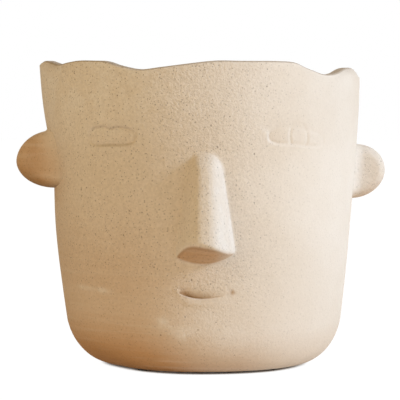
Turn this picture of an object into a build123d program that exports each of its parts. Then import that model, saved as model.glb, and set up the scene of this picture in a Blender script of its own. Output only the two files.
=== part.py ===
from build123d import *

import math
import os

# Head planter: a hand-built stoneware pot with a modelled face, two ears and a wavy rim.
# Millimetres, +Z up. The face looks along -Y, and its own left ear is at +X.
# The origin is the middle of the overall footprint, on the surface that the planter stands on.

# The pot: outer sizes of the wall and what closes it below
rim_width = 211.0  # across the wall at the rim, ears left out
rim_depth = 201.0  # front to back at the rim, nose left out
foot_width = 173.0  # across the wall where it would meet the foot if the foot weren't rounded
foot_depth = 165.0
rim_height = 194.5  # mean height of the rim above the standing surface
rim_wave = 5.0  # how far the rim rises and falls about that mean
rim_lean = 3.3  # how far the rim's middle stands to one side of the foot's
rim_round = 2.5
wall_thickness = 9.0
wall_bow_share = 0.5  # 0 is a straight taper, more makes the wall swell between foot and rim
foot_round = 22.0
ledge_thickness = 6.0  # the foot turns in under the floor and carries it on a ledge
ledge_width = 10.0
floor_setback = 4.0  # from the end of the foot's rounding in to the floor's edge
floor_thickness = 9.0
drain_radius = 8.0
slip_gap = 0.25  # the film of slip that beds one clay piece on another

# The face
nose_height = 68.0
nose_bottom_width = 37.0
nose_top_width = 19.0
nose_reach = 28.0  # how far it would stand out from the wall at its lowest
nose_top_reach = 10.0
nose_dome_share = 0.9  # how much of its half width the rounding of its top takes up
nose_tip_lift = 12.0  # the underside rises this much from the wall out to the tip
nose_tip_round = 4.0
eye_width = 43.0  # between its points, before they are rounded
eye_height = 12.5
eye_depth = 1.6  # how deep the eye is pressed in
eye_corner_round = 3.0
iris_radius = 5.5
mouth_width = 34.0
mouth_opening = 3.2
mouth_sag = 4.6
mouth_depth = 2.6
ear_height = 39.0
ear_thickness = 17.0
ear_reaches = {"left_ear": 20.5, "right_ear": 23.6}  # out from the wall
ear_round_share = 0.9  # how much of half its thickness the rounding of its edge takes up

# The rubber pieces
plug_clearance = 0.1
plug_tip_taper = 0.9
plug_overhang = 2.0  # how far the stem reaches below the floor
plug_flange_radius = 13.0
plug_flange_thickness = 3.0
plug_grip_radius = 4.5
plug_grip_height = 9.0
plug_edge_round = 1.2
pad_radius = 5.5
pad_thickness = 2.0
pad_edge_round = 0.6
pad_count = 4

overrun = 5.0  # how far a cut runs past what it cuts

# Places on the face, as shares of the rim's height, and angles from the front
nose_level_share = 0.370
eye_level_share = 0.774
eye_angle = 35.0
eye_corner_drop_share = 0.12  # the corner by the nose is this much of the eye's height lower
mouth_level_share = 0.272
ear_level_shares = {"left_ear": 0.652, "right_ear": 0.680}
ear_side_shares = {"left_ear": 1, "right_ear": -1}
ear_forward_shares = {"left_ear": 0.0, "right_ear": 0.16}  # of the wall's half depth, in front of its middle

# The rim's waves: an angle round the pot, 0 at the front and growing towards +X, and a share of rim_wave
rim_wave_shares = {
    -118: 0.45,
    -104: 0.8,
    -90: 0.5,
    -75: 0.92,
    -67: 0.25,
    -60: 0.12,
    -50: 0.65,
    -38: 0.65,
    -30: 0.05,
    -21: -0.45,
    -6: 0.4,
    12: 0.65,
    26: 0.55,
    38: -0.5,
    47: -1.3,
    60: -1.5,
    74: -1.3,
    88: -0.85,
    97: -0.3,
    107: 0.15,
    117: -0.8,
    127: -0.75,
    150: -0.6,
    172: 0.1,
    195: -0.55,
    228: 0.0,
}

# Heights that follow from the sizes above
foot_level = pad_thickness
ledge_level = foot_level + ledge_thickness
floor_level = ledge_level + floor_thickness
top_level = rim_height + rim_wave + overrun
nose_level = nose_level_share * rim_height
mouth_level = mouth_level_share * rim_height
ear_levels = {name: share * rim_height for name, share in ear_level_shares.items()}
floor_radius = min(foot_width, foot_depth) / 2 - foot_round - floor_setback


def rise(z):
    """Share of the way from the foot's size to the rim's that the bowed wall has reached at a height."""
    up = (z - foot_level) / (rim_height - foot_level)
    return up + wall_bow_share * up * (1 - up)


def half_width(z):
    """Half the wall's outer width at a height."""
    return (foot_width + (rim_width - foot_width) * rise(z)) / 2


def half_depth(z):
    """Half the wall's outer depth at a height."""
    return (foot_depth + (rim_depth - foot_depth) * rise(z)) / 2


def lean(z):
    """How far to one side of the foot's middle the leaning wall's middle is at a height."""
    return -rim_lean * (z - foot_level) / (rim_height - foot_level)


def nose_reach_at(z):
    """How far the nose stands out from the wall at a height."""
    return nose_reach + (nose_top_reach - nose_reach) * (z - nose_level) / nose_height


def ear_root(name):
    """How far to one side of the foot's middle the middle of an ear's root lies."""
    z = ear_levels[name]
    beside_share = (1 - ear_forward_shares[name] ** 2) ** 0.5
    return lean(z) + ear_side_shares[name] * beside_share * half_width(z)


# The origin is midway from ear to ear and from the nose's tip to the back of the rim, which sets
# where the foot's middle lies.
nose_tip_level = nose_level + nose_tip_lift
ear_tips = [ear_root(name) + side * ear_reaches[name] for name, side in ear_side_shares.items()]
foot_x = -sum(ear_tips) / len(ear_tips)
middle_y = (half_depth(nose_tip_level) + nose_reach_at(nose_tip_level) - half_depth(rim_height)) / 2


def middle_x(z):
    """Where the leaning wall's middle is at a height."""
    return foot_x + lean(z)


def level(z):
    """Horizontal plane through the middle of the wall at a height."""
    return Plane((middle_x(z), middle_y, z))


def base_plane(z):
    """Horizontal plane through the middle of the foot, for the round pieces set in or under it."""
    return Plane((foot_x, middle_y, z))


def upright_plane(x, y, z):
    """Plane that faces the front, with its own x along +X and its own y up."""
    return Plane((x, y, z), x_dir=(1, 0, 0), z_dir=(0, -1, 0))


def head_form(inset, bottom):
    """The head's outer form as a solid from a height up to above the rim, moved in by inset."""
    level_shares = (0, 1 / 4, 1 / 2, 3 / 4, 1)
    with BuildPart() as form:
        for share in level_shares:
            z = bottom + share * (top_level - bottom)
            with BuildSketch(level(z)):
                Ellipse(half_width(z) - inset, half_depth(z) - inset)
        loft()
    return form.part


def rim_line(reach):
    """The rim's wavy line, at a share of the way from the pot's middle to its wall."""
    points = []
    for angle, share in rim_wave_shares.items():
        turn = math.radians(angle)
        z = rim_height + share * rim_wave
        x = middle_x(z) + reach * half_width(z) * math.sin(turn)
        y = middle_y - reach * half_depth(z) * math.cos(turn)
        points.append((x, y, z))
    with BuildLine() as line:
        Spline(points, periodic=True)
    return line.edge()


# Cutters for the face: each runs from outside the wall down to the depth that it is pressed in
def pressed(sketch, depth):
    """What is left of a sketch's prism outside the head's form moved in by depth."""
    with BuildPart() as cutter:
        extrude(sketch, amount=wall_thickness, both=True)
        add(head_form(depth, foot_level), mode=Mode.SUBTRACT)
    return cutter.part


def eye_sketch(side):
    """One eye, drawn on a plane that touches the wall: an almond with the iris left standing."""
    z = eye_level_share * rim_height
    turn = math.radians(side * eye_angle)
    out = Vector(math.sin(turn), -math.cos(turn), 0)
    x = middle_x(z) + half_width(z) * out.X
    y = middle_y + half_depth(z) * out.Y
    inner_corner = (-side * eye_width / 2, -eye_corner_drop_share * eye_height)
    outer_corner = (side * eye_width / 2, 0)
    with BuildSketch(Plane((x, y, z), x_dir=(-out.Y, out.X, 0), z_dir=out)) as eye:
        with BuildLine():
            ThreePointArc(inner_corner, (0, eye_height / 2), outer_corner)
            ThreePointArc(outer_corner, (0, -eye_height / 2), inner_corner)
        make_face()
        fillet(eye.vertices(), eye_corner_round)
        Circle(iris_radius, mode=Mode.SUBTRACT)
    return eye.sketch


mouth_plane = upright_plane(middle_x(mouth_level), middle_y - half_depth(mouth_level), mouth_level)
with BuildSketch(mouth_plane) as mouth:
    with BuildLine():
        ThreePointArc((-mouth_width / 2, 0), (0, mouth_opening - mouth_sag), (mouth_width / 2, 0))
        ThreePointArc((-mouth_width / 2, 0), (0, -mouth_sag), (mouth_width / 2, 0))
    make_face()

# Head wall: the whole outside of the pot, open above, turned in at the foot
outer_reach_share = 1.3
inner_reach_share = 0.6
rim_surface = Face.make_surface_from_curves(rim_line(outer_reach_share), rim_line(inner_reach_share))

with BuildPart() as cavity:
    add(head_form(wall_thickness, floor_level))
    fillet(cavity.edges().sort_by(Axis.Z)[0], foot_round - wall_thickness)

with BuildPart() as head_wall:
    add(head_form(0, foot_level))
    fillet(head_wall.edges().sort_by(Axis.Z)[0], foot_round)
    add(cavity.part, mode=Mode.SUBTRACT)
    extrude(rim_surface, amount=top_level, dir=(0, 0, 1), mode=Mode.SUBTRACT)
    fillet(head_wall.faces().sort_by(Axis.Z)[-1].edges(), rim_round)
    with BuildSketch(base_plane(ledge_level)):
        Circle(floor_radius)
    extrude(amount=floor_thickness + overrun, mode=Mode.SUBTRACT)
    with BuildSketch(base_plane(ledge_level)):
        Circle(floor_radius - ledge_width)
    extrude(amount=-ledge_thickness - overrun, mode=Mode.SUBTRACT)
    add(pressed(eye_sketch(1), eye_depth), mode=Mode.SUBTRACT)
    add(pressed(eye_sketch(-1), eye_depth), mode=Mode.SUBTRACT)
    add(pressed(mouth.sketch, mouth_depth), mode=Mode.SUBTRACT)

# Floor slab: a disc with the drain hole, bedded on the foot's ledge
with BuildPart() as floor_slab:
    with BuildSketch(base_plane(ledge_level)):
        Circle(floor_radius - slip_gap)
        Circle(drain_radius, mode=Mode.SUBTRACT)
    extrude(amount=floor_thickness)

# What the nose and the ears are bedded on: the head's form, grown by the film of slip
bed = head_form(-slip_gap, foot_level)

# Nose: a tapered lump, wide below, with a domed top and an underside that rises to the tip
nose_dome = nose_dome_share * min(nose_top_width / 2, nose_top_reach)
with BuildPart() as nose:
    for z, width in ((nose_level, nose_bottom_width), (nose_level + nose_height, nose_top_width)):
        with BuildSketch(Plane((middle_x(z), middle_y - half_depth(z), z))):
            Ellipse(width / 2, nose_reach_at(z))
    loft()
    underside = Plane(
        (0, middle_y - half_depth(nose_level), nose_level),
        x_dir=(1, 0, 0),
        z_dir=(0, nose_tip_lift, nose_reach),
    )
    split(bisect_by=underside, keep=Keep.TOP)
    fillet(nose.faces().sort_by(Axis.Z)[-1].edges(), nose_dome)
    fillet(nose.faces().sort_by(Axis.Z)[0].edges(), nose_tip_round)
    add(bed, mode=Mode.SUBTRACT)

# Ears: rounded discs, set edge on against the sides of the head
ears = {}
for name, z in ear_levels.items():
    ear_y = middle_y - ear_forward_shares[name] * half_depth(z)
    with BuildPart() as ear:
        with BuildSketch(upright_plane(foot_x + ear_root(name), ear_y, z)):
            Ellipse(ear_reaches[name], ear_height / 2)
        extrude(amount=ear_thickness / 2, both=True)
        fillet(ear.edges().filter_by(GeomType.ELLIPSE), ear_round_share * ear_thickness / 2)
        add(bed, mode=Mode.SUBTRACT)
    ears[name] = ear

# Drain plug: a rubber stopper pushed in from inside, with a flange that seals on the floor and a grip
stem_radius = drain_radius - plug_clearance
stem_end = -floor_thickness - plug_overhang
grip_top = plug_flange_thickness + plug_grip_height
plug_plane = upright_plane(foot_x, middle_y, floor_level)
with BuildPart() as drain_plug:
    with BuildSketch(plug_plane):
        with BuildLine():
            Polyline(
                (0, stem_end),
                (stem_radius - plug_tip_taper, stem_end),
                (stem_radius, -floor_thickness),
                (stem_radius, 0),
                (plug_flange_radius, 0),
                (plug_flange_radius, plug_flange_thickness),
                (plug_grip_radius, plug_flange_thickness),
                (plug_grip_radius, grip_top),
                (0, grip_top),
                close=True,
            )
        make_face()
    revolve(axis=Axis(plug_plane.origin, (0, 0, 1)))
    grip_edges = drain_plug.edges().filter_by(GeomType.CIRCLE).group_by(Axis.Z)[-2:]
    fillet(grip_edges[0] + grip_edges[1], plug_edge_round)

# Foot pads: rubber dots stuck under the foot, which lift the pot off the table
pad_circle_radius = floor_radius + (floor_setback - ledge_width) / 2
with BuildPart() as foot_pads:
    with BuildSketch(base_plane(0)):
        with PolarLocations(pad_circle_radius, pad_count, start_angle=180 / pad_count):
            Circle(pad_radius)
    extrude(amount=pad_thickness)
    fillet(foot_pads.edges().group_by(Axis.Z)[0], pad_edge_round)

pieces = {
    "head_wall": head_wall,
    "floor_slab": floor_slab,
    "nose": nose,
    "left_ear": ears["left_ear"],
    "right_ear": ears["right_ear"],
    "drain_plug": drain_plug,
    "foot_pads": foot_pads,
}
os.makedirs("parts", exist_ok=True)
for name, piece in pieces.items():
    piece.part.label = name
    export_step(piece.part, f"parts/{name}.step")
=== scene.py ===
"""Head planter: the looks of a hand-built stoneware pot with a face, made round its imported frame.

Metres, +Z up. The face looks along -Y, and its own left ear is at +X.
"""

import logging
import math
from dataclasses import dataclass, field
from enum import Enum
from typing import Callable

import bmesh
import bpy
from mathutils import Matrix, Vector, noise


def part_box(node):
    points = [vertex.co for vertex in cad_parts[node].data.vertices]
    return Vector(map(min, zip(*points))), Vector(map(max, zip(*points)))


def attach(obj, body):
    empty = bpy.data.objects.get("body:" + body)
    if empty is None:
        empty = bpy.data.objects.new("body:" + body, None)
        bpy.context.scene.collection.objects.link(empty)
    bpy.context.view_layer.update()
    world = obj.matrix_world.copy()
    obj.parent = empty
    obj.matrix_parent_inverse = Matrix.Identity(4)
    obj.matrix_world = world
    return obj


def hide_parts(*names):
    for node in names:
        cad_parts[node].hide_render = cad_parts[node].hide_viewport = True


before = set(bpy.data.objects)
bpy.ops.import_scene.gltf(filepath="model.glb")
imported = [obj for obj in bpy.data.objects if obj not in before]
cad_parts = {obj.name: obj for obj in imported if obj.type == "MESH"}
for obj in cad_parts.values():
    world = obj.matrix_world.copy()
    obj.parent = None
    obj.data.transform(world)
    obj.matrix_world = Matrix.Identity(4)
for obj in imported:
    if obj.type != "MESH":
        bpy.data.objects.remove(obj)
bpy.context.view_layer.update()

LOG = logging.getLogger("head_planter")
TOUCH = 1e-6
PLUG_OVERHANG = 0.005

# Value layers on the clay's vertices, which its finish reads: warmth holds painted shade and some real flush,
# dust and highlight holds real dust and painted highlights, darkening holds painted shade and a darker rim
# edge, grit holds sandiness
WARMTH = "warmth"
DUST_AND_HIGHLIGHT = "dust_and_highlight"
DARKENING = "darkening"
GRIT = "grit"

# A profile is radius and height of each point, a fade is where it starts and where it ends
Colour = tuple[float, float, float, float]
Profile = list[tuple[float, float]]
Fade = tuple[float, float]


class Body(Enum):
    """The rigid bodies of the frame that pieces ride on."""

    POT = "pot"
    PLUG = "plug"


class Slot(Enum):
    """The record's material slots."""

    STONEWARE = "stoneware"
    PLUG = "plug_rubber"
    PAD = "pad_rubber"


class Side(Enum):
    """The two sides of the head, as the sign of X."""

    LEFT = 1
    RIGHT = -1


def smooth_step(low: float, high: float, value: float) -> float:
    """Eases from 0 to 1.

    Args:
        low: The value at which it leaves 0.
        high: The value at which it reaches 1.
        value: Where it is read.

    Returns:
        A share from 0 to 1.
    """
    share = min(1.0, max(0.0, (value - low) / (high - low)))
    return share * share * (3 - 2 * share)


def bell(distance: float, width: float) -> float:
    """A soft bump of height 1 that has faded out about two widths away."""
    return math.exp(-((distance / width) ** 2))


@dataclass(frozen=True)
class Patch:
    """A soft spot of colour on the wall."""

    strength: float
    turn: float
    spread: float
    level: float
    height: float

    def at(self, turn: float, level: float) -> float:
        """How strong the spot is at a place."""
        return self.strength * bell(turn - self.turn, self.spread) * bell(level - self.level, self.height)


@dataclass(frozen=True)
class Stroke:
    """A thin pale line dragged along the wall, which may slope about its middle."""

    strength: float
    start: Fade
    end: Fade
    level: float
    width: float
    slope: float = 0.0
    middle: float = 0.0

    def at(self, turn: float, level: float) -> float:
        """How strong the line is at a place.

        Args:
            turn: The angle round the pot.
            level: The height.

        Returns:
            Up to its strength on the line, 0 well away from it.
        """
        along = smooth_step(*self.start, turn) * smooth_step(*self.end, turn)
        sunk = self.slope * (turn - self.middle)
        return self.strength * along * bell(level - self.level + sunk, self.width)


def middle_of(node: str) -> Vector:
    """The middle of a CAD node's box."""
    low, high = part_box(node)
    return (low + high) / 2


def size_of(node: str) -> Vector:
    """The size of a CAD node's box."""
    low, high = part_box(node)
    return high - low


@dataclass
class ClayForm:
    """The outside of the head's wall, which the face and the ears are set on."""

    foot_width: float = 0.173
    foot_depth: float = 0.165
    foot_level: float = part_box("head_wall")[0].z
    rim_height: float = 0.1945
    rim_wave: float = 0.005
    wave_start: float = 0.110
    bow_share: float = 0.5
    dent_turn: float = math.radians(-90)
    dent_level: float = 0.132
    dent_depth: float = 0.0034
    dent_height: float = 0.030
    dent_spread: float = 0.6
    wobble: float = 0.0007
    wobble_pitch: float = 0.055
    wobble_round: float = 1.7
    round_inset: Fade = (0.022, 0.026)
    # Painted shade on the wall round the right ear's root, where it sits in the head's shadow.
    ear_shade: Patch = Patch(0.62, math.radians(-84), 0.32, 0.128, 0.020)
    wave_shares: dict[float, float] = field(
        default_factory=lambda: {
            -118: 0.45,
            -104: 0.7,
            -90: 0.45,
            -80: 0.66,
            -73: 0.84,
            -66: 0.56,
            -60: 0.29,
            -55: 0.5,
            -48: 0.72,
            -40: 0.68,
            -35: 0.58,
            -30: 0.08,
            -22: -0.43,
            -15: -0.18,
            -5: 0.26,
            4: 0.6,
            13: 0.58,
            27: 0.57,
            33: 0.42,
            37: -0.1,
            40: -0.42,
            47: -0.98,
            54: -0.8,
            61: -0.18,
            68: -0.13,
            77: -0.97,
            85: -1.1,
            97: -0.7,
            107: -0.4,
            117: -0.8,
            127: -0.75,
            150: -0.6,
            172: 0.1,
            195: -0.55,
            228: 0.0,
        }
    )

    def __post_init__(self) -> None:
        """Takes the rim's size and the middle of foot and rim from the frame."""
        wall = size_of("head_wall")
        self.rim_width = wall.x
        self.rim_depth = wall.y
        self.foot_x = middle_of("floor_slab").x
        self.rim_x = middle_of("head_wall").x
        self.middle_y = middle_of("head_wall").y

    def rise(self, height: float) -> float:
        """Share of the way from the foot's size to the rim's that the wall has reached at a height."""
        up = (height - self.foot_level) / (self.rim_height - self.foot_level)
        return up + self.bow_share * up * (1 - up)

    def half_width(self, height: float) -> float:
        """Half the wall's outer width at a height."""
        return (self.foot_width + (self.rim_width - self.foot_width) * self.rise(height)) / 2

    def half_depth(self, height: float) -> float:
        """Half the wall's outer depth at a height."""
        return (self.foot_depth + (self.rim_depth - self.foot_depth) * self.rise(height)) / 2

    def middle_x(self, height: float) -> float:
        """Where the leaning wall's middle is at a height."""
        up = (height - self.foot_level) / (self.rim_height - self.foot_level)
        return self.foot_x + (self.rim_x - self.foot_x) * up

    def wave(self, turn: float) -> float:
        """How far the rim stands above its mean height.

        Args:
            turn: The angle round the pot from the front, in radians, growing towards +X.

        Returns:
            A height in metres, from a smooth closed curve through the wave shares.
        """
        degrees = math.degrees(turn)
        stops = list(self.wave_shares.items())
        count = len(stops)
        while degrees < stops[0][0]:
            degrees += 360
        at = max(i for i in range(count) if stops[i][0] <= degrees)

        def stop(index: int) -> tuple[float, float]:
            """A stop's angle and share, counted on past a full turn."""
            angle, share = stops[index % count]
            return angle + 360 * (index // count), share

        (a0, s0), (a1, s1), (a2, s2), (a3, s3) = (stop(at + i) for i in (-1, 0, 1, 2))
        t = (degrees - a1) / (a2 - a1)
        m1 = (s2 - s0) / (a2 - a0) * (a2 - a1)
        m2 = (s3 - s1) / (a3 - a1) * (a2 - a1)
        share = (
            (2 * t**3 - 3 * t**2 + 1) * s1
            + (t**3 - 2 * t**2 + t) * m1
            + (3 * t**2 - 2 * t**3) * s2
            + (t**3 - t**2) * m2
        )
        return share * self.rim_wave

    def place(self, turn: float, height: float, inset: float = 0.0, out: float = 0.0) -> Vector:
        """A point on the wall or in it.

        Args:
            turn: The angle round the pot from the front, in radians, growing towards +X.
            height: The height that the point would have if the rim had no waves.
            inset: How far in from the outside of the wall it lies.
            out: How far it stands out from there, for what is pressed in or built up by hand.

        Returns:
            The point in the frame.
        """
        roundness = smooth_step(*self.round_inset, inset)
        deep = self.half_depth(height)
        wide = self.half_width(height) * (1 - roundness) + deep * roundness
        direction = Vector((math.sin(turn), -math.cos(turn), 0))
        where = Vector((direction.x, direction.y, height / self.wobble_pitch / 2))
        uneven = noise.noise(where * self.wobble_round) * self.wobble * (1 - roundness)
        dent = bell(height - self.dent_level, self.dent_height)
        dent *= bell(turn - self.dent_turn, self.dent_spread)
        reach = out - inset + uneven - self.dent_depth * dent * (1 - roundness)
        lift = self.wave(turn) * smooth_step(self.wave_start, self.rim_height, height)
        return Vector(
            (
                self.middle_x(height) + (wide + reach) * direction.x,
                self.middle_y + (deep + reach) * direction.y,
                height + lift,
            )
        )


def new_piece(name: str, mesh: bmesh.types.BMesh) -> bpy.types.Object:
    """Turns a bmesh into an object at the origin, shaded smooth.

    Args:
        name: The piece's name.
        mesh: Its finished bmesh, which is freed.

    Returns:
        The linked object.
    """
    data = bpy.data.meshes.new(name)
    mesh.to_mesh(data)
    mesh.free()
    data.shade_smooth()
    piece = bpy.data.objects.new(name, data)
    bpy.context.scene.collection.objects.link(piece)
    return piece


def hand_over(piece: bpy.types.Object, body: Body, slot: Slot, *nodes: str) -> None:
    """Tells the frame what a piece rides on and stands for.

    Args:
        piece: The new piece.
        body: The body it moves with.
        slot: Not used.
        nodes: The CAD nodes that it replaces.
    """
    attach(piece, body.value)
    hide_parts(*nodes)
    LOG.info("%s rides on %s and stands for %s", piece.name, body.value, ", ".join(nodes))


def spun(points: Profile, steps: int, closed: bool) -> bmesh.types.BMesh:
    """Spins a profile about the Z axis.

    Args:
        points: Radius and height of each point of the profile.
        steps: Faces round the full turn.
        closed: Whether the profile's last point joins its first.

    Returns:
        A closed bmesh whose faces point outwards.
    """
    mesh = bmesh.new()
    verts = [mesh.verts.new((radius, 0, height)) for radius, height in points]
    pairs = list(zip(verts, verts[1:] + verts[:1] if closed else verts[1:]))
    edges = [mesh.edges.new(pair) for pair in pairs]
    bmesh.ops.spin(
        mesh,
        geom=verts + edges,
        cent=(0, 0, 0),
        axis=(0, 0, 1),
        angle=math.tau,
        steps=steps,
        use_merge=True,
    )
    bmesh.ops.remove_doubles(mesh, verts=mesh.verts[:], dist=TOUCH)
    bmesh.ops.recalc_face_normals(mesh, faces=mesh.faces[:])
    return mesh


def centred(mesh: bmesh.types.BMesh, node: str) -> None:
    """Moves a bmesh that was spun about the origin to the middle of a CAD node, at its own height."""
    middle = middle_of(node)
    bmesh.ops.translate(mesh, verts=mesh.verts[:], vec=(middle.x, middle.y, 0))


def arc(centre: tuple[float, float], radius: float, start: float, end: float, count: int) -> Profile:
    """Points of an arc in a profile.

    Args:
        centre: Radius and height of its centre.
        radius: Its own radius.
        start: Its first angle in degrees, 0 along the profile's radius and 90 upwards.
        end: Its last angle.
        count: How many steps it takes.

    Returns:
        Its points, both ends included.
    """
    angles = [math.radians(start + (end - start) * i / count) for i in range(count + 1)]
    return [(centre[0] + radius * math.cos(a), centre[1] + radius * math.sin(a)) for a in angles]


def rows(start: float, end: float, pitch: float) -> list[float]:
    """Even steps between two heights, both ends left out."""
    count = max(1, round(abs(end - start) / pitch))
    return [start + (end - start) * i / count for i in range(1, count)]


@dataclass(frozen=True)
class Eye:
    """An eye pressed into the wet wall: a sunk almond with lids, a pillow and the ring of an iris."""

    side: Side
    turn: float
    level: float
    width: float
    height: float
    iris_shift: float
    iris_radius: float
    iris_depth: float
    notch: float = 0.0
    notch_across: float = 0.0
    notch_width: float = 0.0030
    edge: float = 0.0013
    top_edge: float = 0.0013
    sunk: float = 0.0008
    corner_sunk: float = 0.0010
    outer_fade: float = 0.6
    pillow: float = 0.0006
    line_width: float = 0.0010
    line_depth: float = 0.0003
    corner_drop: float = 0.0006
    # Lid shade is painted shade along the lid lines.
    lid_shade: float = 0.0
    lid_width: float = 0.0008
    # Lobe highlight is a painted highlight on the lobes under the upper lid.
    lobe_highlight: float = 0.0
    tilt: float = 0.0
    square: float = 3.0
    shade_ends: Fade = (1.0, 0.7)
    lower_shade: Fade = (1.05, 0.2)
    nose_side: Fade = (-0.45, -1.0)
    iris_squash: float = 0.8
    probe: float = 0.0002

    def reach(self, across: float, up: float) -> float:
        """How far out from the eye's middle a place is.

        Args:
            across: The way outwards along the eye.
            up: The way up across it.

        Returns:
            1 on the outline, less inside it and more outside.
        """
        inner = max(0.0, -across / (self.width / 2))
        up = up + self.corner_drop * inner
        if up > 0:
            up += self.notch * bell(across - self.notch_across, self.notch_width) * up / (self.height / 2)
        share = abs(across) / (self.width / 2)
        lift = abs(up) / (self.height / 2)
        return (share**self.square + lift**self.square) ** (1 / self.square)

    def gap(self, across: float, up: float) -> float:
        """How far outside the outline a place is.

        Args:
            across: The way outwards along the eye.
            up: The way up across it.

        Returns:
            A distance in metres, negative inside.
        """
        reach = self.reach(across, up)
        slope_across = (self.reach(across + self.probe, up) - reach) / self.probe
        slope_up = (self.reach(across, up + self.probe) - reach) / self.probe
        return (reach - 1) / max(TOUCH, math.hypot(slope_across, slope_up))

    def local(self, turn: float, level: float, radius: float) -> tuple[float, float]:
        """A place on the wall, as the way outwards along the eye and the way up across it."""
        across = (turn - self.turn) * radius * self.side.value
        return across, level - self.level - self.tilt * across

    def stain_and_shade(self, turn: float, level: float, radius: float) -> float:
        """Painted shade along the lids' lines.

        Args:
            turn: The angle round the pot.
            level: The height.
            radius: The wall's radius there.

        Returns:
            A share from 0 to 1.
        """
        across, up = self.local(turn, level, radius)
        if abs(across) > self.width or abs(up) > self.height:
            return 0.0
        share = across / (self.width / 2)
        ends = smooth_step(*self.shade_ends, abs(share))
        lower = smooth_step(*self.lower_shade, share) if up < 0 else 1.0
        return self.lid_shade * bell(self.gap(across, up), self.lid_width) * ends * lower

    def pale(self, turn: float, level: float, radius: float) -> float:
        """Painted highlight on the lobes under the upper lid.

        Args:
            turn: The angle round the pot.
            level: The height.
            radius: The wall's radius there.

        Returns:
            A share from 0 to 1.
        """
        across, up = self.local(turn, level, radius)
        if up < 0 or abs(across) > self.width or up > self.height:
            return 0.0
        return self.lobe_highlight * bell(self.gap(across, up) + 2 * self.lid_width, self.lid_width)

    def press(self, turn: float, level: float, radius: float) -> float:
        """How deep the wall is pressed in.

        Args:
            turn: The angle round the pot.
            level: The height.
            radius: The wall's radius there.

        Returns:
            A depth in metres, 0 well away from the eye.
        """
        across, up = self.local(turn, level, radius)
        if abs(across) > self.width or abs(up) > self.height:
            return 0.0
        reach = self.reach(across, up)
        gap = self.gap(across, up)
        edge = self.edge + (self.top_edge - self.edge) * smooth_step(0.0, self.height / 3, up)
        inside = smooth_step(edge, -edge, gap)
        share = across / (self.width / 2)
        near_nose = smooth_step(*self.nose_side, share)
        depth = self.sunk * (1 - self.outer_fade * smooth_step(0, 1, share)) + self.corner_sunk * near_nose
        lid = self.line_depth * bell(gap + self.line_width, self.line_width) * (1 + near_nose)
        ring = math.hypot(across - self.iris_shift, up * self.iris_squash) - self.iris_radius
        iris = self.iris_depth * bell(ring, self.line_width) * inside
        cushion = self.pillow * inside * max(0.0, 1 - reach**3)
        return inside * depth + lid + iris - cushion


@dataclass(frozen=True)
class Mouth:
    """A short smile pressed in with a thumb: an upper lip that slopes in to a cut, and a full lower lip."""

    level: float = 0.0508
    right_end: float = -0.0168
    left_end: float = 0.0100
    right_rise: float = 0.0030
    left_rise: float = 0.0017
    depth: float = 0.0026
    left_share: float = 0.28
    deep_side: Fade = (0.75, -0.45)
    press_ends: Fade = (1.12, 0.55)
    press_share: float = 2.2
    press_height: float = 0.016
    upper_fade: float = 0.0028
    upper_limit: Fade = (0.010, 0.002)
    cut: float = 0.00045
    lip: float = 0.0005
    lip_drop: float = 0.0036
    lip_spread: float = 0.00252
    lip_ends: Fade = (1.3, 0.6)
    pad: float = 0.0003
    pad_out: float = 0.0022
    pad_rise: float = 0.0002
    pad_size: float = 0.0022
    dimple_across: float = 0.0155
    dimple_rise: float = 0.0036
    dimple_size: float = 0.0015
    dimple_depth: float = 0.0004
    # Dimple shade is painted shade in the dimple; the shadow and corner settings paint shadow along the cut
    # and at its right-end corner.
    dimple_shade: float = 0.8
    shadow_fade: float = 0.0020
    shadow_right: Fade = (1.08, 0.98)
    shadow_left: Fade = (1.3, -0.5)
    corner_in: float = 0.0032
    corner_rise: float = 0.0010
    corner_size: float = 0.0022
    corner_shade: float = 0.45

    def share(self, across: float) -> float:
        """How far along the mouth a place is, -1 and 1 at its ends."""
        middle = (self.right_end + self.left_end) / 2
        return (across - middle) / (self.left_end - middle)

    def above(self, across: float, level: float) -> float:
        """How far a place is above the curve of the cut."""
        share = self.share(across)
        return level - self.level - (self.right_rise if share < 0 else self.left_rise) * share * share

    def dimple(self, across: float, level: float) -> float:
        """1 in the middle of the dimple beside the mouth, fading out round it."""
        rise = level - self.level - self.dimple_rise
        return bell(math.hypot(across - self.dimple_across, rise), self.dimple_size)

    def stain_and_shade(self, across: float, level: float) -> float:
        """How dark the clay is painted: painted shadow along the cut, most at its right end, and painted
        shade in the dimple.

        Args:
            across: The distance along the wall from the middle of the face, towards +X.
            level: The height.

        Returns:
            A share, a little over 1 at the most.
        """
        share = self.share(across)
        above = self.above(across, level)
        ends = smooth_step(*self.shadow_right, -share) * smooth_step(*self.shadow_left, share)
        if above > 0:
            cut = math.exp(-above / self.shadow_fade)
        else:
            cut = smooth_step(-self.cut, 0.0, above)
        into = across - self.right_end - self.corner_in
        corner = bell(math.hypot(into, above - self.corner_rise), self.corner_size)
        shadowed = min(1.0, cut * ends + self.corner_shade * corner)
        return shadowed + self.dimple_shade * self.dimple(across, level)

    def press(self, across: float, level: float) -> float:
        """How deep the wall is pressed in.

        Args:
            across: The distance along the wall from the middle of the face, towards +X.
            level: The height.

        Returns:
            A depth in metres, negative where the lip stands out.
        """
        share = self.share(across)
        if abs(share) > self.press_share or abs(level - self.level) > self.press_height:
            return 0.0
        above = self.above(across, level)
        ends = smooth_step(*self.press_ends, abs(share))
        deep = self.left_share + (1 - self.left_share) * smooth_step(*self.deep_side, share)
        groove = self.depth * deep * ends
        if above > 0:
            groove *= math.exp(-above / self.upper_fade) * smooth_step(*self.upper_limit, above)
        else:
            groove *= bell(above, self.cut)
        lip = self.lip * bell(above + self.lip_drop, self.lip_spread)
        lip *= smooth_step(*self.lip_ends, abs(share))
        beside = math.hypot(across - self.right_end + self.pad_out, above - self.pad_rise)
        pad = self.pad * bell(beside, self.pad_size)
        return groove - lip - pad + self.dimple_depth * self.dimple(across, level)


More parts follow.
